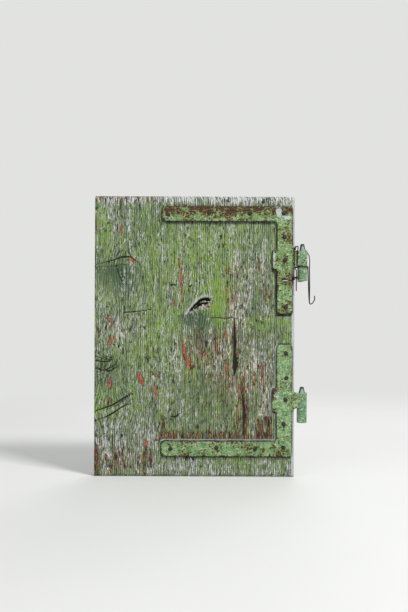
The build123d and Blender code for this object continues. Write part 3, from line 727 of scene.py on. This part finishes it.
def bent_across(across, down):
    """Place across the grain, which bends round the knots."""
    bent = across
    for cx, cy, half_width, half_height, pull in GRAIN_KNOTS:
        reach = ((across - cx) / half_width) ** 2 + ((down - cy) / half_height) ** 2
        bent = bent - (across - cx) * pull * np.exp(-reach)
    return bent


def patches(f, wide, layer, tall):
    """Random values in patches that wide and tall, from another set for each layer."""
    return f.rough.layered(f.across / wide, 0 * f.across + layer, f.down / tall)


def weather(f, depth):
    """Raised grain, cracks of the given depth, and edges worn round."""
    swell = f.rough.layered(f.bent / 22 + 5, 0 * f.bent + 3, f.down / 60)
    grain = 0.5 * (1 - f.ridges) * (0.7 + f.bare) + 0.35 * (1 - swell) + 0.25 * f.bare
    f.relief = grain + depth
    radius = 1.2 + 2.4 * patches(f, 14, 9, 14)
    for place, length in ((f.across, LEAF_WIDTH), (f.down, LEAF_HEIGHT)):
        edge = np.minimum(place, length - place)
        f.relief = f.relief + np.clip(1 - edge / radius, 0, 1) ** 2 * radius


def open_knot(f):
    """The open knot's bowl with its gaps, painted shade in them, and flaking wood, and the pale rim above
    it.
    """
    bowl, rim, slope, deep = knot_fields(f.across, f.down)
    wood = patches(f, 2.2, 1, 2.2)
    relief = f.relief + 3.2 * slope + 7.0 * deep * slope
    relief = np.where(deep < 0.4, relief - 1.6 * slope * wood, relief)
    f.relief = np.where(bowl, relief, f.relief)
    # Painted shade in the bowl's deep crack and gaps
    gaps = np.maximum(deep, ramp(patches(f, 1.3, 2, 12), 0.56, 0.64)) * slope
    f.dark = np.where(bowl, np.maximum(f.dark, gaps), f.dark)
    flakes = 0.92 * ramp(wood, 0.5, 0.56) * (1 - deep)
    f.red = np.where(bowl, np.maximum(f.red, flakes), f.red)
    pale_wood = (1 - deep) * ramp(wood, 0.25, 0.4) * (1 - ramp(wood, 0.52, 0.58))
    above = ramp(rim_side(f.across, f.down), -2, 3)
    f.pale = np.where(bowl, pale_wood, 0.75 * above * np.exp(-((rim / 5.5) ** 4)))


def mark_plates(f):
    """Painted shadows and a shallow groove round the hinge plates, torn wood beside the lower one, and the
    pale right edge.
    """
    f.line, strip, torn = plate_marks(f.across, f.down)
    right_edge = 0.9 * ramp(f.across, LEAF_WIDTH - 8, LEAF_WIDTH - 4)
    f.pale = np.maximum.reduce([f.pale, right_edge, strip])
    fibres = ramp(patches(f, 1.5, 5, 16), 0.36, 0.5)
    f.red = np.maximum(f.red, 0.79 * torn * fibres)
    f.dark = np.maximum(f.dark, 0.8 * torn * (1 - fibres) * ramp(f.ridges, 0.45, 0.6))
    f.pink = f.zones["pink"] + 0.6 * torn
    f.relief = f.relief + 0.5 * strip + 0.7 * f.line


def redden(f):
    """Red strands in the pink zones."""
    strands = ramp(patches(f, 2.2, 12, 20), 0.66, 0.74)
    f.red = np.maximum(f.red, 0.88 * strands * np.clip(f.zones["pink"] * 1.3, 0, 1))


def fray_top(f):
    """Bare fibres along the top edge, some of them orange on the left."""
    height = patches(f, 2.5, 6, 9)
    frayed = 1 - ramp(f.down, 2 + 16 * height, 5 + 20 * height)
    f.bare = f.bare + 0.9 * frayed
    orange = ramp(patches(f, 1.6, 8, 9), 0.52, 0.6)
    f.red = np.maximum(f.red, 0.82 * frayed * orange * (1 - ramp(f.across, 120, 150)))


def leaf_front(across, down):
    """What varies over the leaf's front: its depth behind its plane, and what its material reads."""
    f = SimpleNamespace(across=across, down=down, rough=Roughness(11))
    f.bent = bent_across(across, down)
    f.zones, f.red, f.dark, depth = leaf_marks(across, down)
    f.bare = np.clip(f.zones["bare"], 0, 1.4)
    f.ridges = f.rough.layered(f.bent / 2.6, 0 * down, down / 34)
    weather(f, depth)
    for step in (open_knot, mark_plates, redden, fray_top):
        step(f)
    return f


def warped_steps(count, length, crowded):
    """Places from 0 to length that lie closer together round the given ones."""
    even = np.linspace(0, length, 2001)
    crowd = np.ones(len(even))
    crowd = crowd + sum(ROW_CROWDING * np.exp(-(((even - at) / reach) ** 2)) for at, reach in crowded)
    total = np.concatenate([[0], np.cumsum((crowd[1:] + crowd[:-1]) / 2)])
    return np.interp(np.linspace(0, total[-1], count + 1), total, even)


def grid_places(columns, rows):
    """Across and down of every place of a grid, row by row."""
    across, down = np.meshgrid(columns, rows)
    return across.ravel(), down.ravel()


def grid_faces(width, height, offset, flip):
    """Faces of a grid of points, turned over if flip is true."""
    faces = []
    for row in range(height - 1):
        for column in range(width - 1):
            a = offset + row * width + column
            face = (a, a + width, a + width + 1, a + 1)
            faces.append(face[::-1] if flip else face)
    return faces


def border(width, height, offset):
    """Indices round a grid's edge, along the top first."""
    top = [offset + i for i in range(width - 1)]
    right = [offset + row * width + width - 1 for row in range(height - 1)]
    bottom = [offset + (height - 1) * width + i for i in range(width - 1, 0, -1)]
    left = [offset + row * width for row in range(height - 1, 0, -1)]
    return top + right + bottom + left


def leaf_sides(outline):
    """A ring of points between front and back, pushed unevenly inwards."""
    ring = outline.copy()
    ring[:, 1] = LEAF_THICK * 0.3
    edge = Roughness(23).layered(ring[:, 0] / 6, ring[:, 1] / 6, ring[:, 2] / 6)
    centre = np.array([LEAF_WIDTH / 2, 0, LEAF_HEIGHT / 2])
    inward = np.sign(centre - ring) * (np.abs(ring - centre) > centre - 1e-6)
    inward[:, 1] = 0
    return ring + inward * (0.5 * edge)[:, None]


def leaf_form():
    """The leaf's points as across, deep and down, its faces, and how many points are in front."""
    columns, rows = warped_steps(COLUMNS, LEAF_WIDTH, []), warped_steps(ROWS, LEAF_HEIGHT, FINE_ROWS)
    x, z = grid_places(columns, rows)
    front = np.stack([x, leaf_front(x, z).relief, z], axis=1)
    x, z = grid_places(columns[::BACK_STEP], rows[::BACK_STEP])
    worn = Roughness(19).layered(x / 3, 0 * x, z / 40)
    back = np.stack([x, LEAF_THICK - 0.3 * worn, z], axis=1)
    front_grid = (COLUMNS + 1, ROWS + 1, 0)
    back_grid = (COLUMNS // BACK_STEP + 1, ROWS // BACK_STEP + 1, len(front))
    faces = grid_faces(*front_grid, False) + grid_faces(*back_grid, True)
    outer, inner = border(*front_grid), border(*back_grid)
    sides, start, count = leaf_sides(front[outer]), len(front) + len(back), len(outer)
    for i in range(count):
        j = (i + 1) % count
        faces.append((outer[i], outer[j], start + j, start + i))
    for k in range(len(inner)):
        near = [start + (BACK_STEP * k + step) % count for step in range(BACK_STEP + 1)]
        faces.append((*near, inner[(k + 1) % len(inner)], inner[k]))
    return np.concatenate([front, back, sides]), faces, len(front)


def store_leaf_fields(mesh, points, front_count):
    """Stores what the material reads, with no marks behind and on the edges."""
    x, y, z = points.T
    leaf = leaf_front(x, z)
    front = np.arange(len(points)) < front_count
    set_field(mesh, "grain", (leaf.bent + y) * MM, y * MM, z * MM)
    lime = np.where(front, leaf.zones["lime"], BACK_LIME)
    set_field(mesh, "zones", lime, leaf.zones["teal"] * front, np.where(front, leaf.bare, BACK_BARE))
    set_field(mesh, "marks", leaf.red * front, leaf.dark * front, leaf.pale * front)
    smooth = np.where(front, leaf.zones["smooth"], 1.0)
    # The third value is the painted shadow round the plates
    set_field(mesh, "tints_and_shadow", leaf.pink * front, smooth, leaf.line * front)


def build_leaf():
    """The board: a dense front in relief, a coarser back, and sides between them."""
    points, faces, front_count = leaf_form()
    corner = np.array([LEAF_LOW[0], LEAF_LOW[1], LEAF_HIGH[2]])
    places = corner + points * (MM, MM, -MM)
    piece = new_piece("leaf_wood", places.tolist(), faces)
    store_leaf_fields(piece.data, points, front_count)
    place_piece(piece, weathered_paint(), "leaf_board", "leaf")


# Ironwork. Places on a hinge are in millimetres left of its right edge and in from its arm's outer edge.

PLATE_INSET = 5
PLATE_WIDTH = 30
# Left of the origin, in millimetres, where the neck's true form turns into dented plate
NECK = (17, 24)
# Points this near to the axis are in the eye's bore, and go to its radius
BORE_SEARCH, BORE_RADIUS = 8, 6.25
# Size and depth of the pintle straps' dents
STRAP_DENT, STRAP_DEPTH = 8, 0.3
HEAD_RADIUS, HEAD_HEIGHT = 4.3, 3.0
HEAD_RINGS, HEAD_SIDES = 7, 20


def spot(left, down, at_left, at_down, half_width, half_height):
    """1 at a place on a hinge, and less further away from it."""
    return np.exp(-(((left - at_left) / half_width) ** 2) - ((down - at_down) / half_height) ** 2)


def upper_hinge_wear(left, down, on_arm):
    """Rust, yellow and chips of the upper hinge: most rust along its arm's top."""
    rust = np.where(on_arm, 0.62 - 0.16 * ramp(down, 7, 22), 0.455)
    yellow = np.where(left < PLATE_WIDTH + 1, 0.8, 0.6)
    pale = spot(left, down, 27, 12, 6, 13) + spot(left, down, 10, 22, 12, 5)
    return rust, yellow, pale + spot(left, down, 36.5, 103, 3.4, 17)


def lower_hinge_wear(left, down, on_arm):
    """Rust, yellow and chips of the lower hinge: rust in two places on its arm and on its bulge."""
    rust = np.where(on_arm, 0.45, 0.41)
    rust = rust + 0.05 * spot(left, down, 80, 15, 34, 12) + 0.06 * spot(left, down, 17, 15, 12, 12)
    rust = rust + 0.35 * spot(left, down, 38, 126, 4, 8)
    yellow = 0.35 + 0.4 * spot(left, down, 10, 190, 20, 40)
    return rust, yellow, 0.7 * spot(left, down, 30, 122, 10, 6)


def rim_rust(left, down, on_arm):
    """More rust along the edges of arm and leg."""
    rim = np.where(left > PLATE_WIDTH + 1, np.minimum(down, PLATE_WIDTH + 0.5 - down), down)
    leg_rim = np.where(left > 0, np.minimum(left, PLATE_WIDTH - left), np.inf)
    return np.where(on_arm, 0.1 * (1 - ramp(rim, 0.5, 2.5)), 0.08 * (1 - ramp(leg_rim, 0.5, 2.0)))


def beaten(points, normals, push):
    """The points pushed out by that many millimetres on the plate, with a true bore in the eye."""
    axis = np.array([AXIS_X, AXIS_Y])
    in_bore = np.hypot(points[:, 0] - AXIS_X, points[:, 1] - AXIS_Y) / MM < BORE_SEARCH
    on_plate = ramp(-points[:, 0] / MM, *NECK)
    points = points + normals * (push * on_plate * MM)[:, None]
    radial = points[:, :2] - axis
    away = np.hypot(radial[:, 0], radial[:, 1])
    bore = axis + radial / away[:, None] * BORE_RADIUS * MM
    points[:, :2] = np.where(in_bore[:, None], bore, points[:, :2])
    return points


def build_hinge(node, arm_on_top):
    """A hinge with a dented plate, rust and a true eye."""
    piece, points, normals = even_copy(node + "_iron", node, IRON_FACE)
    low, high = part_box(node)
    left = (LEAF_HIGH[0] - points[:, 0]) / MM - PLATE_INSET
    down = (high[2] - points[:, 2]) / MM if arm_on_top else (points[:, 2] - low[2]) / MM
    on_arm = (down < PLATE_WIDTH + 1) & (left > 0)
    x, y, z = (points / MM).T
    rough = Roughness(31 if arm_on_top else 37)
    cloud = rough.layered(x / 12, y / 12, z / 12)
    fine = rough.layered(x / 3 + 7, y / 3, z / 3)
    hinge_wear = upper_hinge_wear if arm_on_top else lower_hinge_wear
    rust, yellow, pale = hinge_wear(left, down, on_arm)
    rust = rust + rim_rust(left, down, on_arm) + 0.22 * (cloud - 0.5)
    push = (cloud - 0.5) * 0.7 + (fine - 0.5) * 0.35 * (0.5 + rust)
    put_points(piece.data, beaten(points, normals, push))
    set_field(piece.data, "wear", rust, yellow, pale)
    place_piece(piece, IRON_PAINT, node, "leaf")


def build_strap(node):
    """A pintle strap with even rust, dented but still inside its node's box."""
    piece, points, normals = even_copy(node + "_iron", node, IRON_FACE)
    x, y, z = (points / MM / STRAP_DENT).T
    push = (Roughness(53).layered(x, y, z) - 0.5) * 2 * STRAP_DEPTH * MM
    put_points(piece.data, np.clip(points + normals * push[:, None], *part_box(node)))
    set_field(piece.data, "wear", 0.3, 0.3, 0.0)
    place_piece(piece, IRON_PAINT, node, "wall_pintles")


def build_batten(node, seed):
    """A batten with its grain raised by the weather along its length."""
    piece, points, normals = even_copy(node + "_wood", node, BATTEN_FACE)
    x, y, z = (points / MM).T
    rough = Roughness(seed)
    grain = rough.layered(x / 60, y / 2.6, z / 2.6)
    swell = rough.layered(x / 25, y / 12, z / 12)
    inward = (0.55 * grain + 0.5 * swell) * MM
    put_points(piece.data, points - normals * inward[:, None])
    place_piece(piece, WOOD, node, "leaf")


def separate_parts(node):
    """Places of the points of each loose part of a node."""
    mesh = NODES[node].data
    points = vectors_of(mesh.vertices, "co")
    _, place = np.unique(points.round(6), axis=0, return_inverse=True)
    place = place.reshape(-1)
    a, b = place[np.array([edge.vertices[:] for edge in mesh.edges])].T
    part = np.arange(len(points))
    while (part[a] != part[b]).any():
        np.minimum.at(part, a, part[b])
        np.minimum.at(part, b, part[a])
    part = part[place]
    return [points[part == one] for one in dict.fromkeys(part.tolist())]


def head_points(nail, random):
    """Points of a hammered head over a nail's own, ring by ring from its edge to its top."""
    head_y = nail[:, 1].min()
    rim = nail[np.abs(nail[:, 1] - head_y) < 4 * MM]
    x, z = (rim[:, 0].min() + rim[:, 0].max()) / 2, (rim[:, 2].min() + rim[:, 2].max()) / 2
    # Seven numbers are drawn for each nail, and four of them are used
    turn_two, turn_five, wider, steeper = random.uniform(-0.35, 0.35, 7)[:4]
    points = []
    for ring in range(HEAD_RINGS):
        angle = ring / (HEAD_RINGS - 1) * math.pi / 2
        out, up = math.cos(angle), math.sin(angle)
        y = head_y + (HEAD_HEIGHT * MM - HEAD_HEIGHT * up ** (1.1 + steeper) * MM)
        for side in range(HEAD_SIDES):
            around = side / HEAD_SIDES * 2 * math.pi
            lump = 1 + 0.12 * math.sin(around * 2 + turn_two * 9)
            lump = lump + 0.07 * math.sin(around * 5 + turn_five * 9)
            reach = (HEAD_RADIUS * out**0.8 * lump + wider * 0.2) * MM
            points.append((x + reach * math.cos(around), y, z + reach * math.sin(around)))
    return points


def head_faces(start):
    """Faces of a head whose points begin at that index: its rings, its top and its underside."""
    faces = []
    for ring in range(HEAD_RINGS - 1):
        for side in range(HEAD_SIDES):
            a = start + ring * HEAD_SIDES + side
            b = start + ring * HEAD_SIDES + (side + 1) % HEAD_SIDES
            faces.append((a, b, b + HEAD_SIDES, a + HEAD_SIDES))
    last = start + (HEAD_RINGS - 1) * HEAD_SIDES
    faces.append(tuple(last + side for side in range(HEAD_SIDES)))
    faces.append(tuple(start + side for side in reversed(range(HEAD_SIDES))))
    return faces


def build_nails(node, seed):
    """Hammered heads over the heads of a hinge's CAD nails."""
    random = np.random.default_rng(seed)
    points, faces = [], []
    for nail in separate_parts(node):
        faces += head_faces(len(points))
        points += head_points(nail, random)
    piece = new_piece(node + "_heads", points, faces)
    piece.data.materials.append(NAIL_IRON)
    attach(piece, "leaf")
    dress(node, NAIL_IRON)


def dress(node, material):
    """Gives a CAD node a material in all its slots."""
    mesh = NODES[node].data
    for index in range(len(mesh.materials)):
        mesh.materials[index] = material


# Scene

FLOOR_HALF = 30.0
FLOOR_GAP = 0.0006
# From the origin, where the floor begins and ends to turn into the background
FLOOR_FADE = (0.7, 1.9)
SKY_COLOUR, SKY_STRENGTH = (0.96, 0.98, 1.0, 1.0), 0.46
CAMERA_PLACE = (-0.205, LEAF_LOW[1] - 1.70, 0.218)
CAMERA_TILT = math.radians(-0.25)


def build_stage():
    """A pale floor, which far from the object the camera sees in the background's own colour."""
    size, z = FLOOR_HALF, LEAF_LOW[2] - FLOOR_GAP
    corners = [(-size, -size, z), (size, -size, z), (size, size, z), (-size, size, z)]
    floor = new_piece("floor", corners, [(0, 1, 2, 3)])
    s = Surface("floor_paper")
    s.finish(s.mix(s.noise((3, 3, 3), 2), colour(222, 222, 219), colour(228, 228, 226)), 0.9)
    away = s.node("ShaderNodeVectorMath", {0: s.place((1, 1, 0))}, operation="LENGTH").outputs["Value"]
    seen = s.node("ShaderNodeLightPath", {}).outputs["Is Camera Ray"]
    glow = s.node("ShaderNodeEmission", {"Color": BACKGROUND}).outputs[0]
    mixed = s.mix_shaders(s.mul(s.between(away, *FLOOR_FADE), seen), s.shader.outputs[0], glow)
    s.feed(s.tree.nodes["Material Output"].inputs["Surface"], mixed)
    floor.data.materials.append(s.material)


def build_world():
    """Soft light from all sides, seen directly and in reflections as the plain background."""
    world = bpy.data.worlds.new("studio")
    bpy.context.scene.world = world
    world.use_nodes = True
    n = Nodes(world.node_tree)
    soft = n.tree.nodes["Background"]
    n.feed(soft.inputs["Color"], SKY_COLOUR)
    n.feed(soft.inputs["Strength"], SKY_STRENGTH)
    plain = n.node("ShaderNodeBackground", {"Color": BACKGROUND, "Strength": 1.0}).outputs[0]
    path = n.node("ShaderNodeLightPath", {}).outputs
    seen = n.math("MAXIMUM", path["Is Camera Ray"], path["Is Glossy Ray"])
    seen = n.math("MAXIMUM", seen, path["Is Transmission Ray"])
    mixed = n.mix_shaders(seen, soft.outputs[0], plain)
    n.feed(n.tree.nodes["World Output"].inputs["Surface"], mixed)


def area_light(name, place, aim, size, watts):
    """A square lamp of that size in metres, turned to a point."""
    light = bpy.data.lights.new(name, "AREA")
    light.size = size
    light.energy = watts
    lamp = new_object(name, light)
    lamp.location = place
    lamp.rotation_euler = (Vector(aim) - Vector(place)).to_track_quat("-Z", "Y").to_euler()


def build_camera():
    """The photo's view: straight on, with the leaf a quarter of a degree out of true."""
    camera = bpy.data.cameras.new("camera")
    camera.sensor_fit = "VERTICAL"
    camera.sensor_height = 36
    camera.lens = 50
    view = new_object("camera", camera)
    view.location = CAMERA_PLACE
    view.rotation_euler = (math.pi / 2, CAMERA_TILT, 0)
    bpy.context.scene.camera = view


# Where an iron changes its tone: axis, start and full in metres, and the tone there.
# A painted highlight runs down the front of the pins, the neck wire's free end is bright, and the pintle
# wire is pink with rust above its wrap.
PIN_HIGHLIGHT = ("Y", AXIS_Y - 0.0040, AXIS_Y - 0.0048, colour(156, 176, 170))
BRIGHT_END = ("X", -0.036, -0.041, colour(196, 192, 188))
RUSTY_END = ("Z", 0.301, 0.306, colour(128, 98, 88))
IRON_PAINT = painted_iron()
NAIL_IRON = dark_iron("nail_iron", colour(40, 34, 34), colour(66, 54, 50), colour(104, 78, 60))
PIN_IRON = dark_iron("pin_iron", colour(18, 24, 20), colour(64, 88, 76), colour(148, 160, 154), PIN_HIGHLIGHT)
WIRE_IRON = dark_iron("rusty_wire", colour(16, 10, 11), colour(72, 24, 24), colour(112, 46, 38), BRIGHT_END)
DARK_WIRE = dark_iron("dark_wire", colour(10, 10, 11), colour(24, 21, 22), colour(66, 44, 36), RUSTY_END)
HOOK_IRON = dark_iron("hook_iron", colour(44, 40, 38), colour(74, 64, 58), colour(112, 80, 58))
WOOD = plain_wood()
# CAD nodes whose own shape is right
DRESSED = {
    "upper_pintle_pin": PIN_IRON,
    "lower_pintle_pin": PIN_IRON,
    "neck_tie_wire": WIRE_IRON,
    "pintle_tie_wire": DARK_WIRE,
    "batten_nails": NAIL_IRON,
    "hook_staple": HOOK_IRON,
    "inside_hook": HOOK_IRON,
}

build_leaf()
build_hinge("upper_angle_hinge", arm_on_top=True)
build_hinge("lower_angle_hinge", arm_on_top=False)
build_nails("upper_hinge_nails", 41)
build_nails("lower_hinge_nails", 43)
build_batten("upper_batten", 61)
build_batten("lower_batten", 62)
build_strap("upper_pintle_strap")
build_strap("lower_pintle_strap")
for node, material in DRESSED.items():
    dress(node, material)

bpy.context.scene.view_settings.view_transform = "Standard"
build_stage()
build_world()
area_light("key", (1.1, -1.4, 2.5), (-0.2, 0, 0.2), 0.7, 68)
area_light("fill", (-2.4, -2.0, 0.6), (-0.2, 0, 0.15), 1.6, 12)
area_light("back", (0.4, 2.4, 1.8), (-0.2, 0, 0.15), 1.6, 26)
build_camera()
